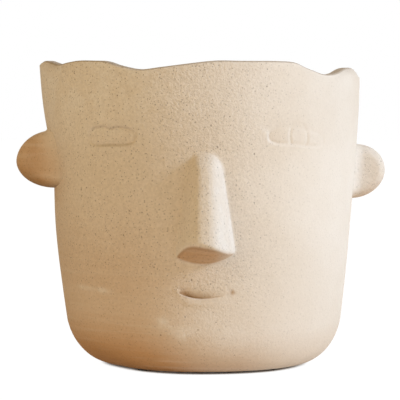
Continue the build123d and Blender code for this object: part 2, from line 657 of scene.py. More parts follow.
def soft_min(first: float, second: float, blend: float) -> float:
    """The smaller of two values, with the corner between them rounded over a blend width."""
    overlap = max(0.0, blend - abs(first - second))
    return min(first, second) - overlap * overlap / (4 * blend)


@dataclass
class Nose:
    """The nose: a tapering round bridge cut off below by a rising underside, smeared onto the wall."""

    form: ClayForm
    root_level: float = 0.0719
    left_lift: float = 0.0060
    right_lift: float = 0.0054
    underside_shift: float = -0.0030
    left_tilt: float = 0.40
    right_tilt: float = 0.26
    tip_level: float = 0.0845
    shoulder_level: float = 0.1295
    top_level: float = 0.1403
    bottom_half_width: float = 0.0190
    shoulder_half_width: float = 0.0107
    tip_reach: float = 0.0268
    shoulder_reach: float = 0.0100
    side_power: float = 2.8
    skew: float = 0.10
    right_flank: float = 1.07
    dome_power: float = 2.3
    least_reach: float = 0.003
    edge_round: float = 0.0054
    lobe_round: float = 0.0042
    lobe_across: Fade = (0.002, 0.014)
    root_blend: float = 0.0024
    smear: float = 0.0007
    smear_blend: float = 0.0003
    cover: float = 0.00012
    cover_share: float = 0.4
    margin: float = 0.007
    columns: int = 150
    lines: int = 190
    back: float = 0.0025
    # Under the nose the warmth is painted shade, partly an iron flush, cooler on the +X lobe; shade is a
    # painted dark edge along the underside's top.
    under_edge: Fade = (-0.001, 0.005)
    under_skin: Fade = (0.0, 0.003)
    under_warmth: float = 0.84
    lobe_warmth: float = 0.30
    shade: float = 0.42
    shade_below: float = 0.0032
    shade_height: float = 0.0034
    shade_across: Fade = (0.014, 0.002)
    # The lit fade is the +X flank facing the key light: it gets a painted highlight and fewer specks.
    lit_across: Fade = (0.000, 0.008)
    lit_highlight: float = 0.55
    lit_grit: float = 0.55

    def half_width(self, level: float) -> float:
        """Half the bridge's width at a height, along its straight taper."""
        share = (level - self.root_level) / (self.shoulder_level - self.root_level)
        return self.bottom_half_width + (self.shoulder_half_width - self.bottom_half_width) * share

    def bridge(self, across: float, level: float) -> float:
        """How far the bridge stands out.

        Args:
            across: The distance along the wall from the middle of the face, towards +X.
            level: The height.

        Returns:
            A distance in metres, negative beyond its edge.
        """
        share = (level - self.tip_level) / (self.shoulder_level - self.tip_level)
        reach = self.tip_reach + (self.shoulder_reach - self.tip_reach) * share
        over = max(0.0, (level - self.shoulder_level) / (self.top_level - self.shoulder_level))
        side = across / self.half_width(level)
        if side < 0:
            side /= self.right_flank
        side = abs(side + self.skew * (1 - side * side))
        return max(self.least_reach, reach) * (1 - side**self.side_power - over**self.dome_power)

    def underside(self, across: float, level: float) -> float:
        """How far out the underside is.

        Args:
            across: The distance along the wall from the middle of the face, towards +X.
            level: The height.

        Returns:
            A distance in metres, negative below its root.
        """
        side = (across - self.underside_shift) / self.bottom_half_width
        root = self.root_level + (self.left_lift if side > 0 else self.right_lift) * side * side
        tilt = self.left_tilt if across > 0 else self.right_tilt
        return (level - root) * self.tip_reach / (self.tip_level - self.root_level - tilt * across)

    def out(self, across: float, level: float) -> float:
        """How far the nose stands out.

        Args:
            across: The distance along the wall from the middle of the face, towards +X.
            level: The height.

        Returns:
            A distance from the wall in metres, 0 beyond the smeared edge.
        """
        turned = self.edge_round + self.lobe_round * smooth_step(*self.lobe_across, across)
        body = soft_min(self.bridge(across, level), self.underside(across, level), turned)
        return -soft_min(-body, 0.0, self.root_blend)

    def smeared(self, across: float, level: float) -> float:
        """How far the clay smeared round the nose lifts the wall.

        Args:
            across: The distance along the wall from the middle of the face, towards +X.
            level: The height.

        Returns:
            A distance in metres.
        """
        if abs(across) > self.bottom_half_width + self.margin:
            return 0.0
        if not self.root_level - self.margin < level < self.top_level + self.margin:
            return 0.0
        bare = soft_min(self.smear, self.smear - self.out(across, level), self.smear_blend)
        return self.smear - max(0.0, bare)

    def build(self) -> bpy.types.Object:
        """Moves a grid onto the nose's skin and closes it inside the wall.

        Returns:
            The finished nose.
        """
        mesh = bmesh.new()
        bmesh.ops.create_grid(mesh, x_segments=self.columns, y_segments=self.lines, size=1)
        warmth = mesh.verts.layers.float.new(WARMTH)
        darkening = mesh.verts.layers.float.new(DARKENING)
        dust_and_highlight = mesh.verts.layers.float.new(DUST_AND_HIGHLIGHT)
        grit = mesh.verts.layers.float.new(GRIT)
        low = self.root_level - self.margin
        high = self.top_level + self.margin
        for vert in mesh.verts:
            level = low + (high - low) * (vert.co.y + 1) / 2
            wide = self.half_width(min(level, self.shoulder_level)) + self.margin
            across = wide * vert.co.x
            out = self.out(across, level)
            below = self.bridge(across, level) - self.underside(across, level)
            under = smooth_step(*self.under_edge, below) * smooth_step(*self.under_skin, out)
            cooled = (self.under_warmth - self.lobe_warmth) * smooth_step(*self.lobe_across, across)
            shaded = bell(below - self.shade_below, self.shade_height)
            shaded *= smooth_step(*self.shade_across, across)
            lit = smooth_step(*self.lit_across, across) * (1 - under)
            # Painted shade under the nose, partly an iron flush, with a painted dark edge along its top.
            vert[warmth] = under * (self.under_warmth - cooled)
            vert[darkening] = self.shade * shaded * under
            # Painted highlight on the lit +X flank.
            vert[dust_and_highlight] = self.lit_highlight * lit
            vert[grit] = 1 - (1 - self.lit_grit) * lit
            out -= self.cover * smooth_step(self.smear, self.smear * self.cover_share, out)
            base = self.form.place(across / self.form.half_width(level), level)
            vert.co = base + Vector((0, -out, 0))
        rim = [edge for edge in mesh.edges if edge.is_boundary]
        wall = bmesh.ops.extrude_edge_only(mesh, edges=rim)["geom"]
        moved = [part for part in wall if isinstance(part, bmesh.types.BMVert)]
        bmesh.ops.translate(mesh, verts=moved, vec=(0, self.back, 0))
        bmesh.ops.holes_fill(mesh, edges=[edge for edge in mesh.edges if edge.is_boundary], sides=0)
        bmesh.ops.recalc_face_normals(mesh, faces=mesh.faces[:])
        return new_piece("nose_clay", mesh)


@dataclass
class HeadWall:
    """The wall of the head: spun, made oval, leaning and wavy, then carved with the face."""

    form: ClayForm
    nose: Nose
    wall: float = 0.009
    ledge: float = 0.010
    foot_round: float = 0.022
    foot_stretch: float = 1.36
    foot_cut: float = math.radians(14)
    flat_turn: float = math.radians(-58)
    flat_spread: float = 0.34
    flat_depth: float = 0.0036
    flat_height: float = 0.024
    sole_height: float = 0.0048
    rim_round: float = 0.0017
    rim_inner_round: float = 0.0040
    row_pitch: float = 0.0032
    inner_pitch: float = 0.0055
    foot_steps: int = 14
    rim_steps: int = 7
    inner_steps: int = 8
    steps: int = 232
    unit_radius: float = 0.1
    skin: float = 0.0005
    snap: float = 0.0002
    face_turn: float = math.radians(62)
    face_low: float = 0.034
    face_high: float = 0.172
    eye_reach_share: float = 0.62
    eye_rise_share: float = 0.85
    lips_reach: float = 0.025
    lips_rise: float = 0.010
    cut_reach: float = 0.024
    cut_rise: float = 0.007
    grit_levels: Fade = (0.030, 0.085)
    grit_low: float = 0.45
    grit_sides: Fade = (0.783, -0.100)
    grit_least: float = 0.2
    right_sides: Fade = (0.149, -0.565)
    left_sides: Fade = (0.15, 0.65)
    # Warmth low on the pot and most at -X is painted shade, partly real flush; the mouth's warmth is its
    # painted shadow.
    foot_levels: Fade = (0.046, 0.004)
    foot_warmth: float = 0.24
    foot_cooler: float = 0.17
    foot_warmer: float = 0.38
    sole_levels: Fade = (0.020, 0.004)
    sole_warmth: float = 0.16
    side_levels: Fade = (0.140, 0.050)
    side_warmth: float = 0.40
    mouth_warmth: float = 0.7
    mouth_shade: float = 0.58
    # Rim darkening darkens the rim's inner top edge, and peak darkening the wall just under the rim at two
    # peaks. Inside and high at +X the darkening is painted shade, inside partly less bleached clay. The
    # mouth's darkening is its painted shadow.
    rim_darkening: float = 0.6
    rim_edge: Fade = (-0.0014, -0.0004)
    inner_shade: float = 0.18
    inner_skin: Fade = (-0.0045, -0.001)
    inner_levels: Fade = (0.013, 0.017)
    high_shade: float = 0.08
    high_levels: Fade = (0.12, 0.18)
    high_sides: Fade = (0.389, 0.841)
    peak_darkening: float = 0.30
    peak_edge: Fade = (-0.006, -0.001)
    peaks: tuple[tuple[float, float], ...] = ((1.12, 0.14), (-1.10, 0.12))
    edge_dust: float = 0.2
    edge_depth: float = 0.006
    top_pale: float = 0.9
    top_levels: Fade = (0.130, 0.185)
    top_sides: Fade = (0.199, -0.717)
    scratches: tuple[Stroke, ...] = (
        Stroke(0.80, (-1.10, -0.98), (-0.62, -0.80), 0.0542, 0.0014, slope=0.004, middle=-0.85),
        Stroke(0.45, (-0.155, -0.135), (-0.050, -0.070), 0.1667, 0.0011),
    )
    rubbed: tuple[Patch, ...] = (
        Patch(1.20, -0.17, 0.09, 0.0297, 0.0040),
        Patch(1.10, -0.31, 0.05, 0.0355, 0.0030),
        Patch(0.35, -0.05, 0.15, 0.0370, 0.0090),
        Patch(0.35, 0.15, 0.40, 0.0260, 0.0100),
    )
    eyes: tuple[Eye, ...] = (
        Eye(
            Side.RIGHT,
            turn=math.radians(-34.6),
            level=0.1503,
            width=0.0368,
            height=0.0114,
            iris_shift=-0.0010,
            iris_radius=0.0060,
            iris_depth=0.0,
            notch=0.0022,
            notch_across=-0.0006,
            corner_sunk=0.0,
            outer_fade=0.0,
            line_depth=0.0003,
            line_width=0.0007,
            lid_shade=0.34,
            lobe_highlight=0.40,
            tilt=-0.10,
            sunk=0.0010,
            corner_drop=0.0,
            square=3.4,
        ),
        Eye(
            Side.LEFT,
            turn=math.radians(35.0),
            level=0.1506,
            width=0.0450,
            height=0.0114,
            iris_shift=-0.0001,
            iris_radius=0.0069,
            iris_depth=0.0004,
            top_edge=0.0060,
            outer_fade=0.70,
            corner_sunk=0.0009,
            line_depth=0.0001,
        ),
    )
    mouth: Mouth = Mouth()

    def profile(self) -> Profile:
        """The wall's closed section, as unit radius less inset, and height.

        Returns:
            Its points, from the opening in the foot round the outside, over the rim and down inside.
        """
        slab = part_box("floor_slab")
        floor_edge = self.form.foot_depth / 2 - (slab[1].y - slab[0].y) / 2
        ledge_edge = floor_edge + self.ledge
        foot = self.form.foot_level
        rim = self.form.rim_height
        inner_round = self.foot_round - self.wall
        unit = self.unit_radius
        points = [(unit - ledge_edge, foot), (unit - floor_edge, foot)]
        drop = self.foot_round * (1 - math.cos(self.foot_cut))
        start = math.degrees(self.foot_cut) - 90
        centre = (unit - self.foot_round, foot + self.foot_round - drop)
        turned = arc(centre, self.foot_round, start, 0, self.foot_steps)
        points += [(x, foot + (z - foot) * self.foot_stretch) for x, z in turned]
        wall_low = foot + (self.foot_round - drop) * self.foot_stretch
        points += [(unit, z) for z in rows(wall_low, rim - self.rim_round, self.row_pitch)]
        points += arc((unit - self.rim_round, rim - self.rim_round), self.rim_round, 0, 90, self.rim_steps)
        inner_top = rim - self.rim_inner_round
        centre = (unit - self.wall + self.rim_inner_round, inner_top)
        points += arc(centre, self.rim_inner_round, 90, 180, self.rim_steps)
        inner_low = slab[1].z + inner_round
        points += [(unit - self.wall, z) for z in rows(inner_top, inner_low, self.inner_pitch)]
        points += arc((unit - self.wall - inner_round, inner_low), inner_round, 0, -90, self.inner_steps)
        points += [
            (unit - floor_edge, slab[1].z),
            (unit - floor_edge, slab[0].z),
            (unit - ledge_edge, slab[0].z),
        ]
        return points

    def refine(self, mesh: bmesh.types.BMesh, near: Callable[[float, float], bool]) -> None:
        """Halves the edges of the outer wall in one region.

        Args:
            mesh: The wall's bmesh, still on its unit radius.
            near: Says of a turn and a height whether it lies in the region.
        """
        chosen = []
        for face in mesh.faces:
            middle = face.calc_center_median()
            outside = math.hypot(middle.x, middle.y) > self.unit_radius - self.skin
            if outside and near(math.atan2(middle.x, -middle.y), middle.z):
                chosen.append(face)
        edges = dict.fromkeys(edge for face in chosen for edge in face.edges)
        bmesh.ops.subdivide_edges(mesh, edges=list(edges), cuts=1, use_grid_fill=True)

    def near_face(self, turn: float, level: float) -> bool:
        """Whether a place on the wall is on the face."""
        return abs(turn) < self.face_turn and self.face_low < level < self.face_high

    def near_nose(self, turn: float, level: float) -> bool:
        """Asks for the wall round the nose.

        Args:
            turn: The angle round the pot.
            level: The height.

        Returns:
            Whether the place is under the nose or close round it.
        """
        beside = abs(turn) * self.unit_radius < self.nose.bottom_half_width + self.nose.margin
        low = self.nose.root_level - self.nose.margin
        return beside and low < level < self.nose.top_level + self.nose.margin

    def near_drawing(self, turn: float, level: float) -> bool:
        """Asks for the wall round the drawing.

        Args:
            turn: The angle round the pot.
            level: The height.

        Returns:
            Whether the place is close to an eye or the mouth.
        """
        for eye in self.eyes:
            across = abs(turn - eye.turn) * self.unit_radius
            rise = abs(level - eye.level)
            if across < eye.width * self.eye_reach_share and rise < eye.height * self.eye_rise_share:
                return True
        rise = abs(level - self.mouth.level)
        return abs(turn) * self.unit_radius < self.lips_reach and rise < self.lips_rise

    def near_mouth(self, turn: float, level: float) -> bool:
        """Whether a place on the wall is close to the mouth's cut."""
        rise = abs(level - self.mouth.level)
        return abs(turn) * self.unit_radius < self.cut_reach and rise < self.cut_rise

    def flattened(self, turn: float, level: float, inset: float) -> float:
        """How far in the foot's outside is flattened, where the pot was set down soft.

        Args:
            turn: The angle round the pot.
            level: The height.
            inset: How far in from the outside of the wall the place lies.

        Returns:
            A depth in metres, 0 inside the pot and away from the flat.
        """
        sole = inset < self.foot_round and level < self.form.foot_level + self.sole_height
        if inset >= self.wall and not sole:
            return 0.0
        low = smooth_step(self.flat_height, self.form.foot_level, level)
        return self.flat_depth * bell(turn - self.flat_turn, self.flat_spread) * low

    def pressed(self, turn: float, level: float) -> float:
        """How deep the drawing of the face is pressed into the wall at a place.

        Args:
            turn: The angle round the pot.
            level: The height.

        Returns:
            A depth in metres, negative where clay stands out.
        """
        radius = self.form.half_width(level)
        depth = sum(eye.press(turn, level, radius) for eye in self.eyes)
        across = turn * radius
        return depth + self.mouth.press(across, level) - self.nose.smeared(across, level)

    def build(self) -> bpy.types.Object:
        """Spins the section, refines the face and moves every vertex to its place on the form.

        Returns:
            The finished wall.
        """
        mesh = spun(self.profile(), self.steps, closed=True)
        drawing = self.near_drawing
        for region in (self.near_face, self.near_nose, drawing, drawing, self.near_mouth):
            self.refine(mesh, region)
        warmth = mesh.verts.layers.float.new(WARMTH)
        dust_and_highlight = mesh.verts.layers.float.new(DUST_AND_HIGHLIGHT)
        darkening = mesh.verts.layers.float.new(DARKENING)
        grit = mesh.verts.layers.float.new(GRIT)
        for vert in mesh.verts:
            turn = math.atan2(vert.co.x, -vert.co.y)
            level = vert.co.z
            inset = max(0.0, self.unit_radius - math.hypot(vert.co.x, vert.co.y))
            inset = 0.0 if inset < self.snap else inset
            depth = self.pressed(turn, level) if inset == 0 else 0.0
            depth += self.flattened(turn, level, inset)
            vert[warmth] = self.warmth_at(turn, level, inset)
            vert[dust_and_highlight] = self.dust_and_highlight_at(turn, level, inset)
            vert[darkening] = self.darkening_at(turn, level, inset)
            vert[grit] = self.grit_at(turn, level)
            vert.co = self.form.place(turn, level, inset, -depth)
        return new_piece("head_wall_clay", mesh)

    def warmth_at(self, turn: float, level: float, inset: float) -> float:
        """How warm the clay is painted: low on the pot and most at -X as painted shade, partly real flush; by
        the right ear as painted shade; in the mouth as painted shadow.

        Args:
            turn: The angle round the pot.
            level: The height.
            inset: How far in from the outside of the wall the place lies.

        Returns:
            A share from 0 to 1.
        """
        right = smooth_step(*self.right_sides, math.sin(turn))
        left = smooth_step(*self.left_sides, math.sin(turn))
        round_foot = self.foot_warmth - self.foot_cooler * left + self.foot_warmer * right
        foot = smooth_step(*self.foot_levels, level) * round_foot
        foot += self.sole_warmth * (1 - left) * smooth_step(*self.sole_levels, level)
        foot += self.side_warmth * right * smooth_step(*self.side_levels, level)
        if inset > 0:
            return min(1.0, foot)
        # Painted shade round the right ear's root and painted shadow in the mouth.
        ear = self.form.ear_shade.at(turn, level)
        mouth = self.mouth.stain_and_shade(turn * self.form.half_width(level), level)
        return min(1.0, foot + ear + self.mouth_warmth * mouth)

    def grit_at(self, turn: float, level: float) -> float:
        """How sandy the clay is: more up the wall, and less at +X.

        Args:
            turn: The angle round the pot.
            level: The height.

        Returns:
            A share from 0 to 1.
        """
        high = self.grit_low + (1 - self.grit_low) * smooth_step(*self.grit_levels, level)
        side = smooth_step(*self.grit_sides, math.sin(turn))
        return self.grit_least + (1 - self.grit_least) * high * side

    def darkening_at(self, turn: float, level: float, inset: float) -> float:
        """How dark the clay is: darker along the rim's inner edge and under the rim at two peaks, painted
        shade inside (partly less bleached clay) and high at +X, and painted shade on the lids and in the
        mouth.

        Args:
            turn: The angle round the pot.
            level: The height.
            inset: How far in from the outside of the wall the place lies.

        Returns:
            A share from 0 to 1.
        """
        over = level - self.form.rim_height
        if inset > 0:
            rim = self.rim_darkening * smooth_step(*self.rim_edge, over)
            inside = smooth_step(*self.inner_skin, inset - self.wall) * smooth_step(*self.inner_levels, level)
            return rim * (1 - inside) + self.inner_shade * inside
        radius = self.form.half_width(level)
        # Painted shade along the lids, high at +X and in the mouth.
        lids = sum(eye.stain_and_shade(turn, level, radius) for eye in self.eyes)
        high = smooth_step(*self.high_levels, level) * smooth_step(*self.high_sides, math.sin(turn))
        peaks = sum(bell(turn - peak, spread) for peak, spread in self.peaks)
        shade = self.high_shade * high + self.peak_darkening * peaks * smooth_step(*self.peak_edge, over)
        return min(1.0, lids + shade + self.mouth_shade * self.mouth.stain_and_shade(turn * radius, level))

    def dust_and_highlight_at(self, turn: float, level: float, inset: float) -> float:
        """How pale the clay is: rubbed by the rim, in scratches and on the chin, paler high at -X, and a
        painted highlight on the lids.

        Args:
            turn: The angle round the pot.
            level: The height.
            inset: How far in from the outside of the wall the place lies.

        Returns:
            A share, over 1 where it is rubbed most.
        """
        foot_top = self.form.foot_level + self.foot_round * self.foot_stretch
        if inset > 0 and (level > foot_top or inset > self.wall):
            return 0.0
        edge = self.edge_dust * smooth_step(-self.edge_depth, 0, level - self.form.rim_height)
        high = smooth_step(*self.top_levels, level) * smooth_step(*self.top_sides, math.sin(turn))
        marks = sum(mark.at(turn, level) for mark in self.scratches + self.rubbed)
        # Painted highlight on the lids' lobes.
        lids = sum(eye.pale(turn, level, self.form.half_width(level)) for eye in self.eyes)
        return edge + self.top_pale * high + marks + lids


@dataclass
class Ear:
    """An ear: a flat pebble of clay, set edge on against the wall and smoothed in."""

    form: ClayForm
    side: Side
    node: str
    reach: float = 0.0205
    thickness: float = 0.0150
    edge_round: float = 0.0052
    lower_share: float = 0.93
    upper_power: float = 2.0
    # How warm brown the ear is painted: for the right ear, which sits in the head's shadow, this is painted
    # shade. Under warmth is a painted shadow along the lower edge.
    flush_and_shade: float = 0.05
    buried: float = 0.0040
    front_blend: float = 0.0065
    back_blend: float = 0.0065
    top_blend: float = 0.0030
    end_taper: float = 0.80
    end_power: int = 4
    grit: float = 0.6
    under_levels: Fade = (0.3, -0.8)
    under_rings: Fade = (0.55, 1.0)
    under_warmth: float = 0.3
    root_reach: float = 0.014
    steps: int = 200
    section_step: int = 10
    long_share: float = 0.3
    cuts: int = 9

    def __post_init__(self) -> None:
        """Takes the ear's height, its level and how far forward it sits from the frame."""
        middle = middle_of(self.node)
        self.level = middle.z
        self.half_height = size_of(self.node).z / 2
        self.forward = math.asin((self.form.middle_y - middle.y) / self.form.half_depth(self.level))

    def section(self) -> Profile:
        """The pebble's section for the spin.

        Returns:
            Its points, as a share of its radius, and its thickness.
        """
        half = self.thickness / 2
        lip = self.edge_round / self.reach
        points = [(0, -half)]
        for angle in range(-90, 91, self.section_step):
            turn = math.radians(angle)
            points.append((1 - lip + lip * math.cos(turn), half * math.sin(turn)))
        return points + [(0, half)]

    def build(self) -> bpy.types.Object:
        """Spins the pebble, lays it against the wall and draws its root out over the clay.

        Returns:
            The finished ear.
        """
        mesh = spun(self.section(), self.steps, closed=False)
        bmesh.ops.subdivide_edges(
            mesh,
            edges=[edge for edge in mesh.edges if edge.calc_length() > self.long_share],
            cuts=self.cuts,
            use_grid_fill=True,
        )
        warmth = mesh.verts.layers.float.new(WARMTH)
        darkening = mesh.verts.layers.float.new(DARKENING)
        grit = mesh.verts.layers.float.new(GRIT)
        for vert in mesh.verts:
            vert[grit] = self.grit
            out, up, thick = vert.co.x, vert.co.y, vert.co.z
            ring = math.hypot(out, up)
            away = out * self.reach if out > 0 else out * self.buried
            level = self.half_height * up
            if up < 0:
                level *= self.lower_share
            elif out > 0:
                pointed = (1 - up**self.upper_power) ** (1 / self.upper_power)
                away *= pointed / math.sqrt(max(TOUCH, 1 - up * up))
            slim = math.sqrt(1 - self.end_taper * up**self.end_power)
            thick *= slim
            end = self.reach * math.sqrt(max(0.0, 1 - up * up))
            fillet = max(TOUCH, min(end, self.front_blend if thick > 0 else self.back_blend))
            if away < fillet:
                near = fillet - max(0.0, away)
                spread = fillet - math.sqrt(max(0.0, fillet * fillet - near * near))
                outer = min(1.0, abs(thick) / (slim * self.thickness / 2))
                thick += math.copysign(spread * slim, thick) * outer
                if up > 0:
                    level += spread * up**self.end_power * self.top_blend / fillet
            height = self.level + level
            lean = thick / self.form.half_depth(height)
            turn = self.side.value * (math.pi / 2 - self.forward - lean)
            base = self.form.place(turn, height)
            # Painted shade: the root takes the wall's painted shade and fades to the ear's own, and a painted
            # shadow runs along the lower edge.
            lower_edge = smooth_step(*self.under_levels, up) * smooth_step(*self.under_rings, ring)
            root = self.form.ear_shade.at(turn, height)
            warm_shade = root + (self.flush_and_shade - root) * smooth_step(0, self.root_reach, away)
            vert[warmth] = warm_shade + self.under_warmth * lower_edge
            vert[darkening] = self.flush_and_shade * lower_edge
            vert.co = base + Vector((self.side.value * away, 0, 0))
        bmesh.ops.remove_doubles(mesh, verts=mesh.verts[:], dist=TOUCH)
        bmesh.ops.recalc_face_normals(mesh, faces=mesh.faces[:])
        return new_piece(f"{self.node}_clay", mesh)


@dataclass
class FloorSlab:
    """The floor: a thrown disc with turning rings and the drain hole."""

    edge_round: float = 0.0006
    hole_round: float = 0.0012
    ring_pitch: float = 0.0062
    ring_depth: float = 0.0003
    ring_points: int = 6
    hole_steps: int = 4
    edge_steps: int = 3
    steps: int = 128

    def build(self) -> bpy.types.Object:
        """Spins the disc's section about the drain hole.

        Returns:
            The finished floor.
        """
        low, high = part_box("floor_slab")
        hole = size_of("drain_plug").x / 2 - PLUG_OVERHANG
        edge = (high.x - low.x) / 2
        soft = self.hole_round
        points = arc((hole + soft, low.z + soft), soft, -90, -180, self.hole_steps)
        points += arc((hole + soft, high.z - soft), soft, 180, 90, self.hole_steps)
        pitch = self.ring_pitch / self.ring_points
        for radius in rows(hole + soft, edge - self.edge_round, pitch):
            ring = self.ring_depth * (math.cos(math.tau * radius / self.ring_pitch) - 1) / 2
            points.append((radius, high.z + ring))
        soft = self.edge_round
        points += arc((edge - soft, high.z - soft), soft, 90, 0, self.edge_steps)
        points += arc((edge - soft, low.z + soft), soft, 0, -90, self.edge_steps)
        mesh = spun(points, self.steps, closed=True)
        centred(mesh, "floor_slab")
        return new_piece("floor_slab_clay", mesh)


@dataclass
class DrainPlug:
    """The rubber plug: a ribbed stem, a sealing flange and a grip to pull it by."""

    clearance: float = 0.0001
    rib: float = 0.0004
    rib_shares: tuple[float, ...] = (0.15, 0.4, 0.65, 0.9)
    flange: float = 0.003
    grip_radius: float = 0.0045
    waist: float = 0.0009
    tip_angle: float = -30
    edge_round: float = 0.0010
    round_steps: int = 4
    steps: int = 64

    def build(self) -> bpy.types.Object:
        """Spins the plug's section.

        Returns:
            The finished plug.
        """
        low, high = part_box("drain_plug")
        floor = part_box("floor_slab")
        radius = (high.x - low.x) / 2
        stem = radius - PLUG_OVERHANG - self.clearance
        seat = floor[1].z
        soft = self.edge_round
        turned = self.round_steps
        points = [(0, low.z)]
        points += arc((stem - 2 * soft, low.z + soft), soft, -90, self.tip_angle, turned)
        for share in self.rib_shares:
            height = floor[0].z + (seat - floor[0].z) * share
            points += arc((stem - self.rib, height), self.rib, -90, 90, turned)
        points += [(stem - self.rib, seat), (radius - soft, seat)]
        points += arc((radius - soft, seat + soft), soft, -90, 0, turned)
        points += arc((radius - soft, seat + self.flange - soft), soft, 0, 90, turned)
        points += arc((self.grip_radius + soft, seat + self.flange + soft), soft, -90, -180, turned)
        points.append((self.grip_radius - self.waist, (seat + self.flange + high.z) / 2))
        points += arc((self.grip_radius - soft, high.z - soft), soft, 0, 90, turned)
        points.append((0, high.z))
        mesh = spun(points, self.steps, closed=False)
        centred(mesh, "drain_plug")
        return new_piece("drain_plug_rubber", mesh)


@dataclass
class FootPads:
    """The rubber dots under the foot."""

    radius: float = 0.0055
    ring_radius: float = 0.0555
    count: int = 4
    edge_round: float = 0.0006
    dish: float = 0.00015
    dish_share: float = 0.6
    edge_steps: int = 5
    steps: int = 40

    def build(self) -> bpy.types.Object:
        """Spins one dot and copies it round the foot.

        Returns:
            All the dots as one piece.
        """
        low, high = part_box("foot_pads")
        soft = self.edge_round
        points = [(0, low.z + self.dish), (self.radius * self.dish_share, low.z + self.dish)]
        points += arc((self.radius - soft, low.z + soft), soft, -90, 0, self.edge_steps)
        points += [(self.radius, high.z), (0, high.z)]
        mesh = spun(points, self.steps, closed=False)
        bmesh.ops.translate(mesh, verts=mesh.verts[:], vec=(self.ring_radius, 0, 0))
        turn = Matrix.Rotation(math.pi / self.count, 3, "Z")
        bmesh.ops.rotate(mesh, verts=mesh.verts[:], matrix=turn)
        first = mesh.verts[:] + mesh.edges[:] + mesh.faces[:]
        for copy in range(1, self.count):
            made = bmesh.ops.duplicate(mesh, geom=first)["geom"]
            verts = [part for part in made if isinstance(part, bmesh.types.BMVert)]
            turn = Matrix.Rotation(math.tau * copy / self.count, 3, "Z")
            bmesh.ops.rotate(mesh, verts=verts, matrix=turn)
        centred(mesh, "foot_pads")
        return new_piece("foot_pads_rubber", mesh)


class Tree:
    """Adds nodes to a node tree and links them."""

    node_width: int = 180
    row_height: int = 160
    row_count: int = 5

    def __init__(self, tree: bpy.types.NodeTree) -> None:
        """Keeps the tree that nodes go into."""
        self.tree = tree
        self.column = 0

    def add(self, kind: str, **settings: object) -> bpy.types.Node:
        """Adds a node.

        Args:
            kind: Its type.
            settings: Its properties by name.

        Returns:
            The node.
        """
        node = self.tree.nodes.new(kind)
        node.location = (self.column * self.node_width, -(self.column % self.row_count) * self.row_height)
        self.column += 1
        for name, value in settings.items():
            setattr(node, name, value)
        return node

    def feed(self, socket: bpy.types.NodeSocket, value: object) -> None:
        """Links another node's output to a socket, or sets the socket's own value.

        Args:
            socket: The input to feed.
            value: The output to link, or a plain value.
        """
        if isinstance(value, bpy.types.NodeSocket):
            self.tree.links.new(value, socket)
        else:
            socket.default_value = value

    def math(self, operation: str, *values: object, clamp: bool = False) -> bpy.types.NodeSocket:
        """Adds a Math node.

        Args:
            operation: What it does.
            values: Its inputs in order.
            clamp: Whether the result is kept from 0 to 1.

        Returns:
            The result's socket.
        """
        node = self.add("ShaderNodeMath", operation=operation, use_clamp=clamp)
        for socket, value in zip(node.inputs, values):
            self.feed(socket, value)
        return node.outputs[0]

    def mix(self, factor: object, first: object, second: object) -> bpy.types.NodeSocket:
        """Mixes two colours.

        Args:
            factor: How much of the second shows.
            first: The colour below.
            second: The colour above.

        Returns:
            The result's socket.
        """
        node = self.add("ShaderNodeMix", data_type="RGBA")
        self.feed(node.inputs["Factor"], factor)
        self.feed(node.inputs["A"], first)
        self.feed(node.inputs["B"], second)
        return node.outputs["Result"]

    def part(self, value: object, share: float) -> bpy.types.NodeSocket:
        """Multiplies a value by a share and returns the result."""
        return self.math("MULTIPLY", value, share)

    def attribute(self, name: str) -> bpy.types.NodeSocket:
        """Reads a piece's own value layer."""
        return self.add("ShaderNodeAttribute", attribute_name=name).outputs["Fac"]

    def ramp(self, value: object, low: float, high: float, to: Fade = (0, 1)) -> bpy.types.NodeSocket:
        """Maps a range of a value to another, smoothly and clamped.

        Args:
            value: The value.
            low: Where the range starts.
            high: Where it ends.
            to: The range that it becomes.

        Returns:
            The result's socket.
        """
        node = self.add("ShaderNodeMapRange", interpolation_type="SMOOTHSTEP")
        for name, number in zip(("From Min", "From Max", "To Min", "To Max"), (low, high, *to)):
            node.inputs[name].default_value = number
        self.feed(node.inputs["Value"], value)
        return node.outputs["Result"]

    def noise(
        self, vector: object, scale: object, detail: float = 2, rough: float = 0.5
    ) -> bpy.types.NodeSocket:
        """Adds a noise texture.

        Args:
            vector: Its coordinates.
            scale: Its scale.
            detail: How many finer layers it has.
            rough: How strong they are.

        Returns:
            Its value's socket.
        """
        node = self.add("ShaderNodeTexNoise")
        self.feed(node.inputs["Vector"], vector)
        self.feed(node.inputs["Scale"], scale)
        node.inputs["Detail"].default_value = detail
        node.inputs["Roughness"].default_value = rough
        return node.outputs["Fac"]

    def scaled(self, vector: object, scale: tuple[float, float, float]) -> bpy.types.NodeSocket:
        """Stretches coordinates.

        Args:
            vector: The coordinates.
            scale: The stretch along each axis.

        Returns:
            The result's socket.
        """
        node = self.add("ShaderNodeMapping")
        self.feed(node.inputs["Vector"], vector)
        node.inputs["Scale"].default_value = scale
        return node.outputs["Vector"]


def new_material(name: str) -> tuple[bpy.types.Material, Tree]:
    """Makes a material without nodes.

    Args:
        name: Its name.

    Returns:
        It, and the tree that its nodes go into.
    """
    made = bpy.data.materials.new(name)
    made.use_nodes = True
    made.node_tree.nodes.clear()
    return made, Tree(made.node_tree)


def add_bump(tree: Tree, strength: object, distance: float, height: object) -> bpy.types.NodeSocket:
    """Adds a Bump node.

    Args:
        tree: The material's tree.
        strength: How much of the relief shows.
        distance: The relief's full height in metres.
        height: The relief itself.

    Returns:
        The bumped normal.
    """
    bump = tree.add("ShaderNodeBump")
    tree.feed(bump.inputs["Strength"], strength)
    bump.inputs["Distance"].default_value = distance
    tree.feed(bump.inputs["Height"], height)
    return bump.outputs["Normal"]


